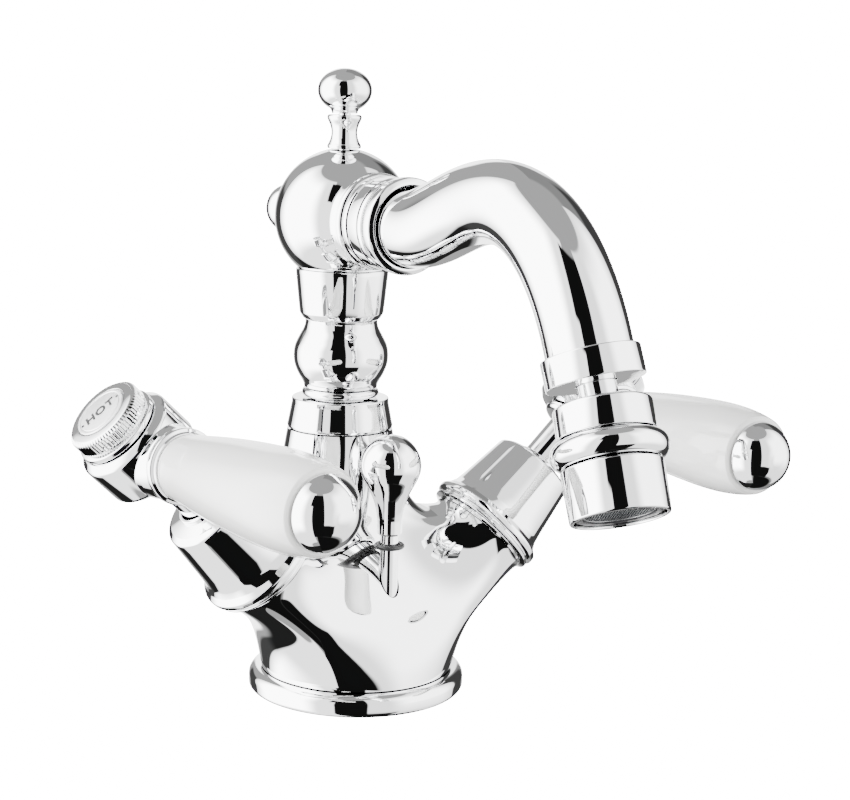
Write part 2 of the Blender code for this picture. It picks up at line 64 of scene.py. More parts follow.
def make_camera():
    data = bpy.data.cameras.new("camera")
    data.sensor_fit = "HORIZONTAL"
    data.sensor_width = 36
    data.lens = LENS
    data.clip_start = 0.01
    data.clip_end = 50
    right = LEVEL_RIGHT * cos(VIEW_ROLL) + LEVEL_UP * sin(VIEW_ROLL)
    up = LEVEL_UP * cos(VIEW_ROLL) - LEVEL_RIGHT * sin(VIEW_ROLL)
    stand = AIM_POINT + BACK * VIEW_DISTANCE
    camera = bpy.data.objects.new("camera", data)
    camera.matrix_world = Matrix(((right.x, up.x, BACK.x, stand.x), (right.y, up.y, BACK.y, stand.y),
                                  (right.z, up.z, BACK.z, stand.z), (0, 0, 0, 1)))
    bpy.context.scene.collection.objects.link(camera)
    bpy.context.scene.camera = camera


make_camera()

# ---------------------------------------------------------------- materials
BUMP_HEIGHT = 0.0002
COAT_ROUGHNESS = 0.03


def make_finish(name, color, metallic, roughness, spread=0.0, scale=120.0, tint=0.0, coat=0.0, bump=0.0):
    """A finish whose roughness and tone wander a little over the surface, as real ones do."""
    mat = bpy.data.materials.new(name)
    mat.use_nodes = True
    tree = mat.node_tree
    shader = tree.nodes["Principled BSDF"]
    shader.inputs["Metallic"].default_value = metallic
    shader.inputs["Roughness"].default_value = roughness
    shader.inputs["Coat Weight"].default_value = coat
    shader.inputs["Coat Roughness"].default_value = COAT_ROUGHNESS
    coords = tree.nodes.new("ShaderNodeTexCoord")
    noise = tree.nodes.new("ShaderNodeTexNoise")
    noise.inputs["Scale"].default_value = scale
    noise.inputs["Detail"].default_value = 4.0
    tree.links.new(coords.outputs["Object"], noise.inputs["Vector"])
    ramp = tree.nodes.new("ShaderNodeMapRange")
    ramp.inputs["From Min"].default_value = 0.3
    ramp.inputs["From Max"].default_value = 0.7
    ramp.inputs["To Min"].default_value = max(roughness - spread, 0.0)
    ramp.inputs["To Max"].default_value = roughness + spread
    tree.links.new(noise.outputs["Fac"], ramp.inputs["Value"])
    tree.links.new(ramp.outputs["Result"], shader.inputs["Roughness"])
    mix = tree.nodes.new("ShaderNodeMix")
    mix.data_type = "RGBA"
    low = tuple(c * (1 - tint) for c in color)
    mix.inputs["A"].default_value = (*low, 1.0)
    mix.inputs["B"].default_value = (*color, 1.0)
    tree.links.new(noise.outputs["Fac"], mix.inputs["Factor"])
    tree.links.new(mix.outputs["Result"], shader.inputs["Base Color"])
    if bump:
        rise = tree.nodes.new("ShaderNodeBump")
        rise.inputs["Strength"].default_value = bump
        rise.inputs["Distance"].default_value = BUMP_HEIGHT
        tree.links.new(noise.outputs["Fac"], rise.inputs["Height"])
        tree.links.new(rise.outputs["Normal"], shader.inputs["Normal"])
    return mat


CHROME = make_finish("polished_chrome", (0.93, 0.935, 0.94), 1.0, 0.012, spread=0.008, scale=40, tint=0.02)
BRASS = make_finish("machined_brass", (0.74, 0.55, 0.27), 1.0, 0.26, spread=0.06, scale=300, tint=0.2)
STEEL = make_finish("plain_steel", (0.56, 0.57, 0.58), 1.0, 0.30, spread=0.08, scale=400, tint=0.15)
SCREEN = make_finish("screen_steel", (0.34, 0.35, 0.36), 1.0, 0.38, spread=0.06, scale=600, tint=0.3)
PORCELAIN = make_finish("glazed_porcelain", (0.84, 0.84, 0.825), 0.0, 0.16, spread=0.03, scale=60, tint=0.015,
                        coat=0.7)
SATIN = make_finish("satin_chrome", (0.95, 0.95, 0.95), 1.0, 0.34, spread=0.04, scale=900, tint=0.03)
CERAMIC = make_finish("ground_ceramic", (0.84, 0.83, 0.79), 0.0, 0.3, spread=0.05, scale=500, tint=0.05)
RUBBER = make_finish("black_rubber", (0.018, 0.018, 0.019), 0.0, 0.45, spread=0.1, scale=700, tint=0.3, bump=0.3)
PLASTIC = make_finish("pale_plastic", (0.74, 0.74, 0.71), 0.0, 0.45, spread=0.06, scale=500, tint=0.06)
DARK_PLASTIC = make_finish("dark_plastic", (0.03, 0.03, 0.034), 0.0, 0.42, spread=0.08, scale=500, tint=0.2)
ENAMEL = make_finish("letter_enamel", (0.012, 0.012, 0.013), 0.0, 0.6, spread=0.05, scale=900, tint=0.2)

FINISH_BY_CLASS = {"chrome": CHROME, "brass": BRASS, "brushed_steel": STEEL, "glazed_ceramic": PORCELAIN,
                   "ceramic": CERAMIC, "rubber": RUBBER, "matte_plastic": PLASTIC}
classes = {m["slot"]: m["class"] for m in frame["record"]["materials"]}
for node_name, node in frame["nodes"].items():
    for index in range(len(node.material_slots)):
        node.material_slots[index].material = FINISH_BY_CLASS[classes[node_name]]
frame["nodes"]["aerator_insert"].material_slots[0].material = DARK_PLASTIC
# These brass pieces are plated where they show through the joints between the covers.
for plated in ("column_tube", "hot_cartridge", "cold_cartridge"):
    frame["nodes"][plated].material_slots[0].material = CHROME

# ---------------------------------------------------------------- shape helpers


def aim(axis, side):
    """A turn that points Z along axis and X towards side."""
    z = Vector(axis).normalized()
    x = Vector(side) - z * Vector(side).dot(z)
    x.normalize()
    y = z.cross(x)
    return Matrix((x, y, z)).transposed().to_4x4()


def place(location, rotation=None):
    """A part's own frame: its origin in millimetres, and its turn."""
    return Matrix.Translation(Vector(location) * MM) @ (rotation or Matrix.Identity(4))


def spline(points, steps=7):
    """A smooth line through the points, spaced by the square root of their distances."""
    pts = np.array(points, dtype=float)
    pts = np.vstack([2 * pts[0] - pts[1], pts, 2 * pts[-1] - pts[-2]])
    out = []
    for i in range(1, len(pts) - 2):
        p = pts[i - 1:i + 3]
        t = np.concatenate([[0], np.cumsum(np.sqrt(np.linalg.norm(np.diff(p, axis=0), axis=1)))])
        for u in np.linspace(t[1], t[2], steps, endpoint=False):
            a = [(t[k + 1] - u) / (t[k + 1] - t[k]) * p[k] + (u - t[k]) / (t[k + 1] - t[k]) * p[k + 1]
                 for k in range(3)]
            b = [(t[k + 2] - u) / (t[k + 2] - t[k]) * a[k] + (u - t[k]) / (t[k + 2] - t[k]) * a[k + 1]
                 for k in range(2)]
            out.append(tuple((t[2] - u) / (t[2] - t[1]) * b[0] + (u - t[1]) / (t[2] - t[1]) * b[1]))
    out.append(tuple(pts[-2]))
    return out


def rounded(points, closed=True, default=0.15):
    """The outline with each corner rounded: a point is (radius, height) or (radius, height, corner radius)."""
    count = len(points)
    out = []
    for i, point in enumerate(points):
        here = np.array(point[:2], dtype=float)
        r = point[2] if len(point) > 2 else default
        if not closed and i in (0, count - 1):
            out.append(tuple(here))
            continue
        before = np.array(points[i - 1][:2], dtype=float) - here
        after = np.array(points[(i + 1) % count][:2], dtype=float) - here
        la, lb = np.linalg.norm(before), np.linalg.norm(after)
        before, after = before / la, after / lb
        angle = np.arccos(np.clip(before @ after, -1, 1))
        if r <= 0 or angle > radians(176) or angle < radians(4):
            out.append(tuple(here))
            continue
        back = min(r / tan(angle / 2), la * 0.48, lb * 0.48)
        r = back * tan(angle / 2)
        centre = here + (before + after) / np.linalg.norm(before + after) * (r / sin(angle / 2))
        a, b = here + before * back - centre, here + after * back - centre
        turn = pi - angle
        steps = max(2, ceil(turn / radians(11)))
        for k in range(steps + 1):
            f = k / steps
            v = a * sin((1 - f) * turn) + b * sin(f * turn)
            out.append(tuple(centre + v / sin(turn)) if turn > 1e-3 else tuple(here))
    return out


def circle_arc(radius, centre_h, start, end, count, centre_r=0.0):
    """Points of an outline on a circle, from one angle to another in degrees."""
    turns = np.radians(np.linspace(start, end, count))
    return [(centre_r + radius * cos(t), centre_h + radius * sin(t)) for t in turns]


def make_piece(name, verts, faces, matrix, material, angle=32):
    """A mesh object from points in millimetres in the part's own frame; edges sharper than angle stay crisp."""
    mesh = bpy.data.meshes.new(name)
    mesh.from_pydata([tuple(matrix @ (Vector(v) * MM)) for v in verts], [], faces)
    bm = bmesh.new()
    bm.from_mesh(mesh)
    bmesh.ops.remove_doubles(bm, verts=bm.verts, dist=1e-7)
    bmesh.ops.recalc_face_normals(bm, faces=bm.faces)
    bm.to_mesh(mesh)
    bm.free()
    mesh.shade_smooth()
    mesh.set_sharp_from_angle(angle=radians(angle))
    mesh.materials.append(material)
    obj = bpy.data.objects.new(name, mesh)
    bpy.context.scene.collection.objects.link(obj)
    return obj


STEPS_PER_TOOTH = 6


def lathe(name, outline, matrix, material, segments=96, closed=None, ripple=None):
    """Turns the outline about the matrix's Z. ripple = (teeth, depth, low, high, least radius) knurls it."""
    if closed is None:
        closed = outline[0][0] > 1e-6
    n = len(outline)
    if ripple:
        teeth, depth, low, high, least = ripple
        segments = teeth * STEPS_PER_TOOTH
    verts = []
    for s in range(segments):
        a = 2 * pi * s / segments
        for r, h in outline:
            if ripple and low < h < high and r > least:
                r -= depth * (0.5 - 0.5 * cos(2 * pi * s / STEPS_PER_TOOTH)) ** 0.6
            verts.append((r * cos(a), r * sin(a), h))
    faces = []
    for s in range(segments):
        t = (s + 1) % segments
        for k in range(n if closed else n - 1):
            m = (k + 1) % n
            ra, rb = outline[k][0], outline[m][0]
            quad = [s * n + k, s * n + m, t * n + m, t * n + k]
            if ra < 1e-6:
                quad = [s * n + k, s * n + m, t * n + m]
            elif rb < 1e-6:
                quad = [s * n + k, s * n + m, t * n + k]
            faces.append(quad)
    return make_piece(name, verts, faces, matrix, material)


def stands_for(obj, node, body):
    """The piece takes the place of a CAD node and moves with its body."""
    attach(obj, body)
    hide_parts(node)
    return obj


def trim(obj, tools, union=()):
    """Boolean cuts and joins, applied to the mesh; the tools go."""
    for tool in list(union) + list(tools):
        mod = obj.modifiers.new("trim", "BOOLEAN")
        mod.solver = "EXACT"
        mod.operation = "UNION" if tool in union else "DIFFERENCE"
        mod.object = tool
    bpy.context.view_layer.update()
    mesh = bpy.data.meshes.new_from_object(obj.evaluated_get(bpy.context.evaluated_depsgraph_get()))
    obj.modifiers.clear()
    material = obj.data.materials[0]
    obj.data = mesh
    mesh.name = obj.name
    mesh.materials.clear()
    mesh.materials.append(material)
    for polygon in mesh.polygons:
        polygon.material_index = 0
    mesh.shade_smooth()
    mesh.set_sharp_from_angle(angle=radians(32))
    for tool in list(union) + list(tools):
        bpy.data.objects.remove(tool, do_unlink=True)


# ---------------------------------------------------------------- axes
COLUMN_Y = 10.7
BALL_Z = 130.4
BALL_R = 18.7
GAP = 0.3
TUBE_R = 7.9
VALVE_TILT = 46.4
VALVE_LEAN = -2.9
VALVE_BASE = Vector((0, -7.2, 8.6))
LEVER_S = 95.6
LEVER_TOE = 3.3
OUTLET_TILT = 23.2
COLLAR = Vector((0, -101.5, 101.5))
PIVOT_DROP = 9.6
ROD_Y = -16.0


def valve_direction(side):
    tilt, lean = radians(VALVE_TILT), radians(VALVE_LEAN)
    return Vector((side * sin(tilt), cos(tilt) * sin(lean), cos(tilt) * cos(lean)))


def lever_direction(side):
    axis = valve_direction(side)
    forward = Vector((0, -1, 0))
    forward = (forward - axis * forward.dot(axis)).normalized()
    return Matrix.Rotation(radians(side * -LEVER_TOE), 3, axis) @ forward


def tilted(tilt, sway):
    t, s = radians(tilt), radians(sway)
    return Vector((sin(s), -sin(t) * cos(s), -cos(t) * cos(s)))


OUTLET = tilted(OUTLET_TILT, 0)
PIVOT = COLLAR + OUTLET * PIVOT_DROP
COLUMN = place((0, COLUMN_Y, 0))
SPOUT_AXIS = place((0, COLUMN_Y, BALL_Z), aim((0, -1, 0), (1, 0, 0)))
REAR_AXIS = place((0, COLUMN_Y, BALL_Z), aim((0, 1, 0), (1, 0, 0)))
OUTLET_AXIS = place(COLLAR, aim(OUTLET, (1, 0, 0)))
STEM_AXIS = place(PIVOT, aim(OUTLET, (1, 0, 0)))
AERATOR_AXIS = place(PIVOT, aim(tilted(26.0, -6.1), (1, 0, 0)))
ROD_AXIS = place((0, ROD_Y, 0))

# ---------------------------------------------------------------- body


# A subdivided ring of eight points settles this much inside its cage.
RING_SHRINK = 0.9024


def ring_on(centre, across, up, radius):
    """Eight cage points on a circle, and its middle."""
    points = {}
    for i in (-1, 0, 1):
        for k in (-1, 0, 1):
            if i or k:
                d = Vector((i, k)).normalized() * radius / RING_SHRINK
                points[(i, k)] = Vector(centre) + Vector(across) * d.x + Vector(up) * d.y
    points[(0, 0)] = Vector(centre)
    return points


def body_cage():
    """The body's control cage: a block with four tubes, for the foot, the neck and the two arms.

    Each row holds front corner, front middle, side, back corner and back middle as (x, y). The arms start at the
    middle row's sides, so that row has no side point.
    """
    rows = {
        -1: ((25.2, -23.9), (0, -27.4), (30.2, 0), (23.5, 24.7), (0, 29.6)),
        0: ((23.9, -21.5), (0, -13.9), (0, 0), (22.8, 15.5), (0, 31.7)),
        1: ((15.9, -12.0), (0, -4.4), (19.1, 0.5), (16.0, 18.6), (0, 29.2)),
    }
    heights = {-1: 19.4, 0: 32.7, 1: 48.5}
    bm = bmesh.new()
    verts = {}
    crease_rings = []

    def vert(key, point):
        verts[key] = bm.verts.new(Vector(point) * MM)

    for k, (corner_f, mid_f, side, corner_b, mid_b) in rows.items():
        z = heights[k]
        vert((0, -1, k), (0, mid_f[1], z))
        vert((0, 1, k), (0, mid_b[1], z))
        for i in (-1, 1):
            vert((i, -1, k), (i * corner_f[0], corner_f[1], z))
            vert((i, 1, k), (i * corner_b[0], corner_b[1], z))
            if k:
                vert((i, 0, k), (i * side[0], side[1], z))

    def quad(*corners):
        bm.faces.new([verts[c] for c in corners])

    for j in (-1, 1):
        for i in (-1, 0):
            for k in (-1, 0):
                loop = [(i, j, k), (i + 1, j, k), (i + 1, j, k + 1), (i, j, k + 1)]
                quad(*(loop if j < 0 else loop[::-1]))
    order = [(-1, -1), (0, -1), (1, -1), (1, 0), (1, 1), (0, 1), (-1, 1), (-1, 0)]

    def tube(start, rings, tag):
        last = start
        for n, (points, sharp) in enumerate(rings):
            new = {}
            for o in order:
                new[o] = (tag, n) + o
                vert(new[o], points[o])
            for a, b in zip(order, order[1:] + order[:1]):
                quad(last[a], last[b], new[b], new[a])
            if sharp:
                crease_rings.append([verts[new[o]] for o in order])
            last = new
        centre = (tag, "end")
        vert(centre, rings[-1][0][(0, 0)])
        for a, b, c in ((0, 1, 7), (2, 3, 1), (4, 5, 3), (6, 7, 5)):
            quad(last[order[a]], last[order[b]], centre, last[order[c]])

    x, y = Vector((1, 0, 0)), Vector((0, 1, 0))
    tube({o: (o[0], o[1], -1) for o in order},
         [(ring_on((0, 0, 6.3), x, y, 26.7), True), (ring_on((0, 0, 6.3), x, y, 22.0), True),
          (ring_on((0, 0, 0), x, y, 22.0), True)], "foot")
    tube({o: (o[0], o[1], 1) for o in order},
         [(ring_on((0, COLUMN_Y, 54.6), x, y, 17.6), False),
          (ring_on((0, COLUMN_Y, 71.6), x, y, 14.7), True)], "neck")
    for side in (-1, 1):
        axis = valve_direction(side)
        front = Vector((0, 1, 0))
        front = (front - axis * front.dot(axis)).normalized()
        up = axis.cross(front) * side
        up = up if up.z > 0 else -up
        tube({o: (side, o[0], o[1]) for o in order},
             [(ring_on(VALVE_BASE + axis * 45.7, front, up, 13.9), False),
              (ring_on(VALVE_BASE + axis * 47.3, front, up, 14.6), True)], "arm%+d" % side)
    bmesh.ops.recalc_face_normals(bm, faces=bm.faces)
    crease = bm.edges.layers.float.new("crease_edge")
    for ring in crease_rings:
        for a, b in zip(ring, ring[1:] + ring[:1]):
            bm.edges.get((a, b))[crease] = 1.0
    mesh = bpy.data.meshes.new("mixer_body_skin")
    bm.to_mesh(mesh)
    bm.free()
    return mesh


FULL_LEVELS = 4


def rod_between(name, start, end, radius):
    """A plain round bar between two points."""
    run = Vector(end) - Vector(start)
    return lathe(name, [(0, run.length), (radius, run.length), (radius, 0), (0, 0)],
                 place(start, aim(run, (0.3, 1.0, 0.2))), CHROME, 32)


def build_body():
    mesh = body_cage()
    mesh.materials.append(CHROME)
    body = bpy.data.objects.new("mixer_body_skin", mesh)
    bpy.context.scene.collection.objects.link(body)
    surface = body.modifiers.new("surface", "SUBSURF")
    surface.levels = FULL_LEVELS
    surface.render_levels = surface.levels
    column_bore = [(0, 80), (9.5, 80), (9.5, 50), (6, 50), (6, 36), (0, 36)]
    rod_bore = [(0, 60), (2.9, 60), (2.9, 10), (4.3, 10), (4.3, -1), (0, -1)]
    tools = [
        lathe("cut_column_bore", column_bore, COLUMN, CHROME, 48),
        lathe("cut_rod_bore", rod_bore, ROD_AXIS, CHROME, 48),
        rod_between("cut_stud_bore", (0, 13, -1), (0, 13, 14), 4.25),
    ]
    for side in (-1, 1):
        axis = valve_direction(side)
        tools.append(lathe("cut_valve_pocket", [(0, 60), (10, 60), (10, 27), (4, 27), (4, 12), (0, 12)],
                           place(VALVE_BASE, aim(axis, (0, 0, 1))), CHROME, 48))
        tools.append(rod_between("cut_inlet", (side * 10, -7.7, -1), (side * 10, -7.7, 17), 5))
        tools.append(rod_between("cut_waterway", VALVE_BASE + axis * 32, (0, COLUMN_Y, 43), 3.2))
    trim(body, tools)
    stands_for(body, "mixer_body", "base")
    flange = lathe("base_flange_skin",
                   rounded([(22.3, 6.0), (30.05, 6.0, 2.8), (30.05, 0, 1.5), (27.2, 0), (27.2, 1.6), (23.6, 1.6),
                            (23.6, 0), (22.3, 0)], default=0.1), place((0, 0, 0)), CHROME, 160)
    stands_for(flange, "base_flange", "base")


# ---------------------------------------------------------------- column and spout


def half_round(inner, outer, low, high, count=15):
    """A ring's outline: flat inside and round outside."""
    half = (high - low) / 2
    depth = min(half, outer - inner - 0.3)
    side = [(outer - depth + depth * cos(t), (low + high) / 2 + half * sin(t))
            for t in np.radians(np.linspace(88, -88, count))]
    return [(inner, high)] + side + [(inner, low)]


def build_column():
    bore = TUBE_R + GAP
    pieces = {
        "swivel_cup": rounded([(bore, 80.3), (13.5, 80.3, 0.35), (13.5, 78.9, 0.4), (13.75, 77.6, 2.0),
                               (14.5, 73.6, 4.0), (14.75, 72.6, 0.4), (14.6, 71.9, 0.3), (bore, 71.9)]),
        "column_ring": half_round(bore, 10.7, 80.6, 83.0),
        "column_bulb": [(bore, 102.2)] + spline(
            [(10.1, 102.2), (10.0, 101.3), (10.4, 99.7), (11.6, 97.4), (12.8, 94.8), (13.17, 92.2),
             (12.9, 89.6), (11.9, 87.0), (10.9, 85.3), (10.35, 84.2), (10.2, 83.3)]) + [(bore, 83.3)],
        "upper_cup": rounded([(bore, 113.0), (12.25, 116.15, 0.1), (12.75, 116.1, 0.25), (12.75, 115.0, 0.3),
                              (12.45, 112.0, 3.0), (11.9, 106.5, 4.0), (11.6, 104.0, 1.0),
                              (10.7, 102.5, 0.3), (bore, 102.5)]),
        "finial_sleeve": [(1.9, 158.0)] + spline(
            [(4.35, 158.0), (4.7, 157.5), (4.6, 156.8), (3.9, 155.2), (3.5, 153.4), (3.75, 151.6),
             (4.3, 150.3), (4.65, 149.6), (4.5, 148.95)], 5) + [(1.9, 149.4)],
    }
    for node, outline in pieces.items():
        stands_for(lathe(node + "_skin", outline, COLUMN, CHROME), node, "spout")

    knob = [(7.38 * cos(t), 164.56 + 5.94 * sin(t)) for t in np.radians(np.linspace(90, -57, 26))]
    knob[0] = (0.0, 170.5)
    knob += spline([(3.75, 159.2), (3.55, 158.75), (3.5, 158.35)], 3)
    knob += [(1.6, 158.3), (1.6, 144.0), (0, 144.0)]
    stands_for(lathe("finial_knob_skin", knob, COLUMN, CHROME), "finial_knob", "spout")

    rear = circle_arc(7.06, 28.9, 90, -50, 22)
    rear[0] = (0.0, 35.96)
    rear += spline([(4.25, 23.0), (4.05, 22.0), (4.3, 20.6), (5.0, 19.2), (5.5, 18.45)], 4)
    rear += [(2.6, 19.1), (2.6, 13.5), (0, 13.5)]
    stands_for(lathe("rear_knob_skin", rear, REAR_AXIS, CHROME), "rear_knob", "spout")

    outer = [(10.9, 16.0), (11.75, 16.0), (11.9, 15.85)]
    outer += spline([(11.9, 15.6), (11.95, 15.1), (12.2, 14.55), (12.6, 13.85)], 4)
    outer += circle_arc(BALL_R, 0, 46.5, -81, 60)
    outer += [(2.9, -BALL_R + 0.25), (2.9, -14.7)]
    inner = circle_arc(15.0, 0, -78, 42, 24)
    head = lathe("ball_head_skin", outer + inner + [(10.9, 11.0)], SPOUT_AXIS, CHROME, 128, closed=True)
    tools = [lathe("cut_ball_bore", [(0, 122), (bore, 122), (bore, 105), (0, 105)], COLUMN, CHROME, 48),
             lathe("cut_finial_bore", [(0, 155), (1.9, 155), (1.9, 140), (0, 140)], COLUMN, CHROME, 32)]
    trim(head, tools)
    stands_for(head, "ball_head", "spout")


def bezier(points, per=40):
    """Points along a chain of (point, direction, back, ahead) stops."""
    out = []
    for (p0, d0, _, ahead), (p3, d3, back, _) in zip(points, points[1:]):
        p1, p2 = p0 + d0 * ahead, p3 - d3 * back
        for t in np.linspace(0, 1, per, endpoint=False):
            out.append(p0 * (1 - t) ** 3 + p1 * 3 * t * (1 - t) ** 2 + p2 * 3 * t * t * (1 - t) + p3 * t ** 3)
    out.append(points[-1][0])
    return out


def build_tube(outer_r=10.4, inner_r=9.1, sides=96):
    """The spout: a pipe swept in the middle plane from the ball to the outlet collar."""
    end_dir = Vector((OUTLET.y, OUTLET.z))
    collar = Vector((COLLAR.y, COLLAR.z))
    stops = [
        (Vector((-2.0, BALL_Z)), Vector((-1, 0)), 5.0, 5.0),
        (Vector((-23.5, BALL_Z - 0.1)), Vector((-1, -0.02)).normalized(), 5.0, 13.0),
        (Vector((-61.8, 139.7)), Vector((-1, 0)), 15.0, 17.5),
        (Vector((-97.3, 111.4)), end_dir, 16.0, 2.0),
        (collar - end_dir * 2.8, end_dir, 2.0, 2.0),
    ]
    path = bezier(stops, 34)
    rings = []
    for i, p in enumerate(path):
        ahead = path[min(i + 1, len(path) - 1)] - path[max(i - 1, 0)]
        normal = Vector((-ahead.y, ahead.x)).normalized()
        rings.append((p, normal))
    verts, faces = [], []
    for radius in (outer_r, inner_r):
        for p, n in rings:
            for s in range(sides):
                a = 2 * pi * s / sides
                verts.append((radius * cos(a), p.x + n.x * radius * sin(a), p.y + n.y * radius * sin(a)))
    count = len(rings)
    for shell in (0, 1):
        for i in range(count - 1):
            for s in range(sides):
                t = (s + 1) % sides
                a = (shell * count + i) * sides
                faces.append([a + s, a + t, a + sides + t, a + sides + s])
    for i in (0, count - 1):
        for s in range(sides):
            t = (s + 1) % sides
            a, b = i * sides, (count + i) * sides
            faces.append([a + s, a + t, b + t, b + s])
    stands_for(make_piece("spout_tube_skin", verts, faces, Matrix.Identity(4), CHROME), "spout_tube", "spout")


def build_spout():
    bore = 10.9
    pieces = {
        "spout_ring": half_round(bore, 12.95, 16.3, 19.3),
        "spout_sleeve": rounded([(bore, 28.7), (12.2, 28.7, 0.3), (12.35, 27.6, 0.1), (12.0, 27.3, 0.1),
                                 (12.0, 27.0, 0.1), (12.35, 26.7, 0.1), (12.3, 22.6, 0.1), (12.0, 22.3, 0.1),
                                 (12.0, 22.0, 0.1), (12.5, 21.7, 0.3), (12.5, 20.3, 0.4), (12.0, 19.6, 0.2),
                                 (bore, 19.6)]),
        "spout_bead": rounded([(bore, 34.0), (11.5, 34.0, 0.3), (12.8, 33.2, 1.0), (12.85, 30.7, 1.0),
                               (11.6, 30.0, 0.3), (11.5, 29.0, 0.1), (bore, 29.0)]),
    }
    for node, outline in pieces.items():
        stands_for(lathe(node + "_skin", outline, SPOUT_AXIS, CHROME, 128), node, "spout")
    build_tube()
    collar = rounded([(11.8, 0.0, 0.3), (11.8, -7.0, 0.35), (10.8, -7.0), (10.8, -2.2), (4.95, -2.2),
                      (4.95, 0.0)])
    stands_for(lathe("end_collar_skin", collar, OUTLET_AXIS, CHROME, 128), "end_collar", "spout")
    stem = [(2.8, 5.95)] + circle_arc(6.6, 0, 62, -44, 30) + [(4.6, -4.9), (4.6, -12.4), (2.8, -12.4)]
    stands_for(lathe("ball_stem_skin", stem, STEM_AXIS, CHROME), "ball_stem", "spout")


# ---------------------------------------------------------------- aerator


def build_screen():
    """A woven disc: a rim and two layers of fine wires."""
    bm = bmesh.new()
    radius, wire, pitch = 8.1, 0.14, 0.62
    for layer, turn in ((0, radians(28)), (1, radians(118))):
        h = 20.75 - 0.3 * layer
        count = int(radius / pitch)
        for k in range(-count, count + 1):
            off = k * pitch
            half = max((radius * radius - off * off) ** 0.5 - 0.05, 0.2)
            spin = Matrix.Rotation(turn, 4, "Z")
            shift = Matrix.Translation(Vector((off, 0, h)) * MM)
            lie = Matrix.Rotation(radians(90), 4, "X")
            bmesh.ops.create_cone(bm, cap_ends=True, segments=8, radius1=wire * MM, radius2=wire * MM,
                                  depth=2 * half * MM, matrix=AERATOR_AXIS @ spin @ shift @ lie)
    mesh = bpy.data.meshes.new("aerator_screen_skin")
    bm.to_mesh(mesh)
    bm.free()
    mesh.shade_smooth()
    mesh.set_sharp_from_angle(angle=radians(60))
    mesh.materials.append(SCREEN)
    obj = bpy.data.objects.new("aerator_screen_skin", mesh)
    bpy.context.scene.collection.objects.link(obj)
    stands_for(obj, "aerator_screen", "aerator")
    rim = lathe("aerator_screen_rim", rounded([(7.9, 20.95), (8.35, 20.95), (8.35, 20.2), (7.9, 20.2)],
                                              default=0.08), AERATOR_AXIS, STEEL)
    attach(rim, "aerator")
    back = lathe("aerator_screen_back", [(0, 20.05), (8.3, 20.05), (8.3, 19.9), (0, 19.9)], AERATOR_AXIS,
                 DARK_PLASTIC)
    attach(back, "aerator")


def build_aerator():
    seat = circle_arc(8.4, 0, -25, 26, 18)
    housing = rounded([(9.2, 12.0), (9.2, 2.75), (11.6, 2.75, 0.3), (11.6, -4.6, 0.8), (6.1, -4.6, 0.3),
                       (6.1, -3.7, 0)], closed=False)
    housing = [(8.0, 12.0)] + housing + seat + [(8.0, 4.4)]
    lip = rounded([(10.6, 21.6), (10.65, 22.1, 0.2), (11.6, 22.1, 0.6), (12.0, 10.0, 0.4), (9.5, 10.0),
                   (9.5, 12.6), (10.6, 12.6)])
    pieces = {
        "aerator_housing": housing,
        "aerator_bead": half_round(9.5, 13.85, 3.05, 9.7, 31),
        "aerator_sleeve": lip,
    }
    for node, outline in pieces.items():
        stands_for(lathe(node + "_skin", outline, AERATOR_AXIS, CHROME, 128), node, "aerator")
    build_screen()


# ---------------------------------------------------------------- handles
BELL = rounded([(5.6, 75.2), (6.6, 75.2, 0.35), (6.6, 73.9, 0.2), (10.4, 73.5, 0.6), (12.0, 72.5, 1.0),
                (12.35, 69.9, 3.0), (13.9, 58.6, 8.0), (14.5, 55.3, 3.0), (15.5, 53.4, 1.2),
                (16.9, 52.0, 0.9), (16.9, 50.4, 0.9), (15.9, 49.8, 0.2), (15.7, 49.5, 0.15),
                (16.3, 49.2, 0.2), (16.2, 48.6, 0.2), (14.6, 48.3, 0.2), (14.4, 47.6, 0.1), (13.0, 47.6),
                (12.6, 54.6), (10.6, 71.2), (8.6, 72.0), (5.6, 72.0)])
CAP = rounded([(7.3, 113.0, 0.15), (9.3, 112.85, 0.5), (10.5, 111.9, 0.6), (10.5, 110.3, 0),
               (10.5, 108.8, 0.25), (10.0, 108.5, 0.1), (10.0, 108.2, 0.1), (11.1, 107.9, 0.5),
               (11.2, 106.7, 0.4), (10.7, 106.3, 0.2), (6.2, 106.3), (6.2, 104.2), (5.0, 104.2),
               (5.0, 110.8), (7.3, 111.9)])
WASHER = half_round(5.3, 8.6, 88.8, 91.2)
CORE = [(0, 80.5), (2.5, 80.5), (2.5, 19.55)] + rounded(
    [(2.5, 19.5), (8.35, 19.5, 0.2), (8.7, 18.9, 0.2), (9.6, 18.6, 0.5), (9.6, 16.9, 0.6), (8.9, 16.5, 0.2),
     (9.0, 15.7, 0.3), (2.6, 15.7)], closed=False) + [(2.6, 8.2), (0, 8.2)]
GLAZE = [(2.8, 78.5)] + rounded([(9.1, 78.5, 0), (9.4, 78.5, 0.3), (10.1, 78.0, 0.5)], closed=False) + spline(
    [(10.2, 77.8), (10.7, 75.6), (11.3, 71.5), (11.65, 66.5), (11.7, 61.0), (11.4, 53.0), (10.9, 45.0),
     (10.3, 38.0), (9.6, 31.5), (9.0, 26.5), (8.6, 22.5), (8.35, 20.6)]) + [(8.1, 19.9), (2.8, 19.9)]
TIP = [(0, 86.3)] + spline([(1.4, 86.15), (3.6, 85.55), (5.6, 84.4), (7.3, 82.7), (8.4, 80.8), (8.85, 79.3)]) + [
    (8.85, 78.8), (2.8, 78.8), (2.8, 81.0), (0, 81.0)]


LETTER_SIZE = 3.9
LETTER_RISE = 0.03
LETTER_S = 113.36
LETTER_TURN = -21
MARK_R = 0.38
MARK_OUT = 5.6


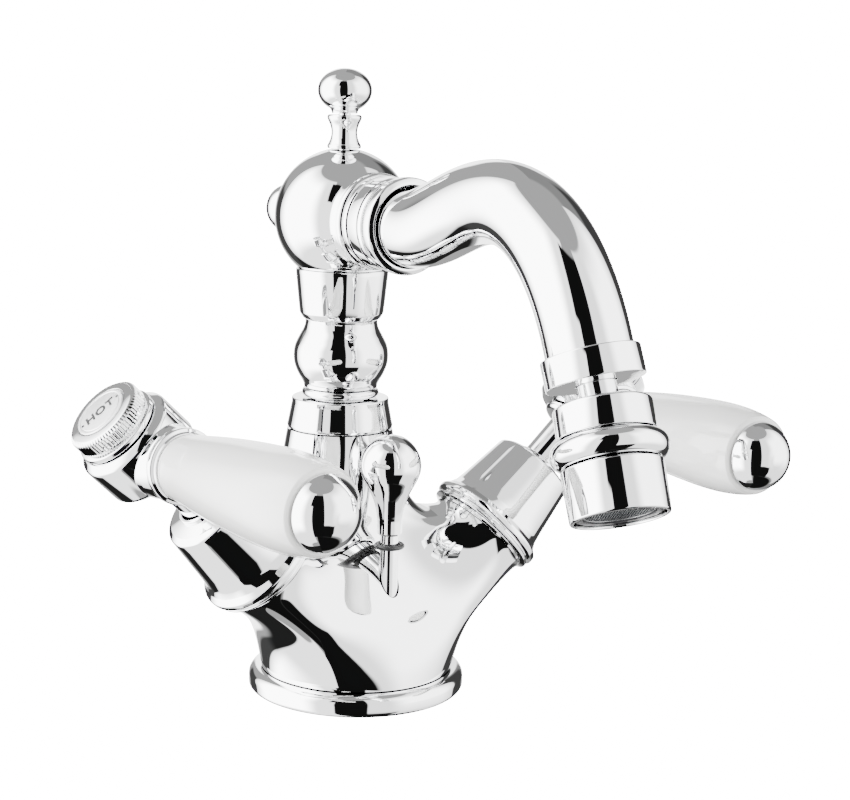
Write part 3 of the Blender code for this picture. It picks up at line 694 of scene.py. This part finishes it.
def letters(name, word, valve, body, turn):
    """Enamelled capitals on the index disc: the word across the middle and a small mark at each side."""
    text = bpy.data.curves.new(name, "FONT")
    text.body = word
    text.size = LETTER_SIZE * MM
    text.offset = 0.12 * MM
    text.extrude = LETTER_RISE * MM
    text.align_x = "CENTER"
    text.align_y = "CENTER"
    text.space_character = 1.12
    source = bpy.data.objects.new(name, text)
    bpy.context.scene.collection.objects.link(source)
    bpy.context.view_layer.update()
    mesh = bpy.data.meshes.new_from_object(source.evaluated_get(bpy.context.evaluated_depsgraph_get()))
    bpy.data.objects.remove(source, do_unlink=True)
    spin = Matrix.Rotation(turn, 4, "Z")
    mesh.transform(valve @ Matrix.Translation((0, 0, LETTER_S * MM)) @ spin)
    mesh.materials.clear()
    mesh.materials.append(ENAMEL)
    bm = bmesh.new()
    bm.from_mesh(mesh)
    for angle in (0, 180):
        mark = Matrix.Rotation(radians(angle), 4, "Z") @ Matrix.Translation((MARK_OUT * MM, 0, 0))
        bmesh.ops.create_cone(bm, cap_ends=True, segments=16, radius1=MARK_R * MM, radius2=MARK_R * MM,
                              depth=2 * LETTER_RISE * MM,
                              matrix=valve @ Matrix.Translation((0, 0, LETTER_S * MM)) @ spin @ mark)
    bm.to_mesh(mesh)
    bm.free()
    obj = bpy.data.objects.new(name, mesh)
    bpy.context.scene.collection.objects.link(obj)
    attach(obj, body)


def build_handle(word, side):
    """One bell, spindle, hub, cap and lever; side is -1 for hot and +1 for cold."""
    body = word + "_handle"
    axis = valve_direction(side)
    valve = place(VALVE_BASE, aim(axis, (0, 0, 1)))
    lever = place(VALVE_BASE + axis * LEVER_S, aim(lever_direction(side), axis))
    stands_for(lathe(word + "_bell_skin", BELL, valve, CHROME, 128), word + "_bell", "base")
    spindle = [(2.4, 99.6), (5.0, 99.6), (5.0, 38.3), (8.3, 38.3), (8.3, 36.0), (0, 36.0), (0, 86.0),
               (2.4, 86.0)]
    stands_for(lathe(word + "_spindle_skin", spindle, valve, CHROME, 64, closed=True), word + "_spindle", body)
    stands_for(lathe(word + "_washer_skin", WASHER, valve, CHROME), word + "_washer", body)
    hub = lathe(word + "_hub_skin", rounded(
        [(6.6, 106.0), (11.4, 106.0, 0.4), (13.2, 104.4, 1.6), (13.2, 93.2, 1.6), (11.4, 91.5, 0.4), (5.3, 91.5),
         (5.3, 99.9), (2.5, 99.9), (2.5, 102.4), (6.6, 102.4)]), valve, CHROME, 128)
    boss_outline = rounded([(0, 15.4), (8.6, 15.4, 0.3), (8.8, 14.6, 1.0), (9.3, 12.0, 1.0), (9.6, 9.4, 0),
                            (0, 9.4)], closed=False)
    boss = lathe("join_hub_boss", boss_outline, lever, CHROME, 96)
    bore = lathe("cut_lever_bore", [(0, 18), (3.0, 18), (3.0, 7.8), (0, 7.8)], lever, CHROME, 32)
    trim(hub, [bore], union=[boss])
    stands_for(hub, word + "_hub", body)
    cap = lathe(word + "_index_cap_skin", CAP, valve, CHROME, ripple=(72, 0.42, 108.7, 112.3, 9.9))
    stands_for(cap, word + "_index_cap", body)
    disc = lathe(word + "_index_disc_skin",
                 rounded([(0, 113.3), (5.9, 113.3, 0.05), (6.0, 113.2, 0.05), (6.2, 113.2, 0.05),
                          (6.3, 113.3, 0.05), (7.05, 113.3, 0.2), (7.05, 112.2), (0, 112.2)],
                         closed=False), valve, SATIN)
    stands_for(disc, word + "_index_disc", body)
    for node, outline, material in (("lever_core", CORE, CHROME), ("porcelain", GLAZE, PORCELAIN),
                                    ("lever_tip", TIP, CHROME)):
        skin = lathe("%s_%s_skin" % (word, node), outline, lever, material, 96)
        stands_for(skin, "%s_%s" % (word, node), body)
    turn = radians(LETTER_TURN if side < 0 else 180 - LETTER_TURN)
    letters(word + "_letters", word.upper(), valve, body, turn)


def build_lift():
    rod = rounded([(0, 60.0), (2.5, 60.0), (2.5, 1.5), (0, 1.5)], closed=False)
    stands_for(lathe("lift_rod_skin", rod, ROD_AXIS, CHROME), "lift_rod", "lift")
    knob = [(0, 74.1)] + spline(
        [(1.6, 73.95), (3.6, 73.3), (5.7, 71.7), (7.4, 69.3), (8.2, 66.6), (8.15, 64.4), (7.5, 62.3),
         (6.5, 60.3), (5.4, 58.2), (4.4, 55.8), (3.75, 53.4), (3.45, 51.0)]) + rounded(
        [(3.4, 50.5), (3.4, 47.2, 0.2), (3.0, 46.7, 0.2), (2.8, 46.6, 0)], closed=False)
    knob += [(2.8, 60.4), (0, 60.4)]
    stands_for(lathe("lift_knob_skin", knob, ROD_AXIS, CHROME), "lift_knob", "lift")
    ring = circle_arc(0.68, 43.5, 0, 330, 12, 3.5)
    stands_for(lathe("lift_oring_skin", ring, ROD_AXIS, RUBBER, 64, closed=True), "lift_oring", "lift")


build_body()
build_column()
build_spout()
build_aerator()
for side, word in ((-1, "hot"), (1, "cold")):
    build_handle(word, side)
build_lift()

# ---------------------------------------------------------------- studio
BACKGROUND = 18.0
FLOOR_REACH = 3.0
FLOOR_Z = -0.0003

# Light areas of the studio as the fitting sees them: azimuth range from the camera's side (degrees, right
# is positive), elevation range, radiance, and how softly the edge fades. Later ones lie over earlier ones.
# First the ceiling, then the left and right walls, then the dark places below and round the camera.
CARDS = [
    (-400, 400, -95, 95, 0.50, 1),
    (-180, -126, -60, 28, 0.5, 10),
    (-180, -163, -30, 26, 4.5, 6),
    (-152, -127, -60, 12, 0.07, 7),
    (-128, -18, -76, 62, 2.6, 3),
    (-118, -48, -36, 52, 11.0, 22),
    (128, 180, -60, 60, 0.30, 7),
    (130, 158, -40, 36, 0.06, 8),
    (166, 180, -18, 26, 2.6, 6),
    (160, 180, -60, -18, 0.5, 6),
    (15, 129, -52, 62, 2.1, 3),
    (50, 118, -18, 50, 5.4, 26),
    (-10, 400, -95, -56, 0.008, 6),
    (-400, -126, -95, -36, 0.02, 8),
    (-14, 50, -58, -24, 0.008, 4),
    (-27, 15, 27, 58, 0.008, 3),
    (-20, 15, -58, 30, 0.008, 2),
]


def build_studio():
    """A pale floor, and a world that is plain white to the eye and a lit studio to the metal."""
    floor = bpy.data.meshes.new("floor")
    corners = ((-1, -1), (1, -1), (1, 1), (-1, 1))
    floor.from_pydata([(x * FLOOR_REACH, y * FLOOR_REACH, FLOOR_Z) for x, y in corners], [], [[0, 1, 2, 3]])
    mat = make_finish("pale_floor", (0.93, 0.93, 0.93), 0.0, 0.6, spread=0.05, scale=3, tint=0.01)
    shader = mat.node_tree.nodes["Principled BSDF"]
    shader.inputs["Emission Color"].default_value = (1, 1, 1, 1)
    shader.inputs["Emission Strength"].default_value = BACKGROUND
    floor.materials.append(mat)
    ground = bpy.data.objects.new("floor", floor)
    ground.visible_glossy = False
    ground.visible_diffuse = False
    bpy.context.scene.collection.objects.link(ground)

    world = bpy.data.worlds.new("studio")
    world.use_nodes = True
    tree = world.node_tree
    tree.nodes.clear()

    def math(operation, *values):
        node = tree.nodes.new("ShaderNodeMath")
        node.operation = operation
        for socket, value in zip(node.inputs, values):
            if isinstance(value, (int, float)):
                socket.default_value = value
            else:
                tree.links.new(value, socket)
        return node.outputs[0]

    def dot(vector, direction):
        node = tree.nodes.new("ShaderNodeVectorMath")
        node.operation = "DOT_PRODUCT"
        tree.links.new(vector, node.inputs[0])
        node.inputs[1].default_value = direction
        return node.outputs["Value"]

    def ramp(value, low, high):
        node = tree.nodes.new("ShaderNodeMapRange")
        node.interpolation_type = "SMOOTHSTEP"
        tree.links.new(value, node.inputs["Value"])
        node.inputs["From Min"].default_value = low
        node.inputs["From Max"].default_value = high
        return node.outputs["Result"]

    ray = tree.nodes.new("ShaderNodeTexCoord").outputs["Generated"]
    ahead = dot(ray, (sin(VIEW_AZ), -cos(VIEW_AZ), 0))
    aside = dot(ray, (cos(VIEW_AZ), sin(VIEW_AZ), 0))
    height = dot(ray, (0, 0, 1))
    turn = math("DEGREES", math("ARCTAN2", aside, ahead))
    lift = math("DEGREES", math("ARCSINE", height))
    light = None
    for left, right, low, high, radiance, soft in CARDS:
        if light is None:
            light = math("ADD", radiance, 0.0)
            continue
        mask = math("MULTIPLY", ramp(lift, low - soft / 2, low + soft / 2),
                    ramp(lift, high + soft / 2, high - soft / 2))
        if left > -180:
            mask = math("MULTIPLY", mask, ramp(turn, left - soft / 2, left + soft / 2))
        if right < 180:
            mask = math("MULTIPLY", mask, ramp(turn, right + soft / 2, right - soft / 2))
        light = math("MULTIPLY_ADD", mask, math("SUBTRACT", radiance, light), light)
    seen = tree.nodes.new("ShaderNodeLightPath").outputs["Is Camera Ray"]
    light = math("MULTIPLY_ADD", seen, math("SUBTRACT", BACKGROUND, light), light)
    glow = tree.nodes.new("ShaderNodeBackground")
    glow.inputs["Color"].default_value = (1, 1, 1, 1)
    tree.links.new(light, glow.inputs["Strength"])
    out = tree.nodes.new("ShaderNodeOutputWorld")
    tree.links.new(glow.outputs["Background"], out.inputs["Surface"])
    bpy.context.scene.world = world


build_studio()
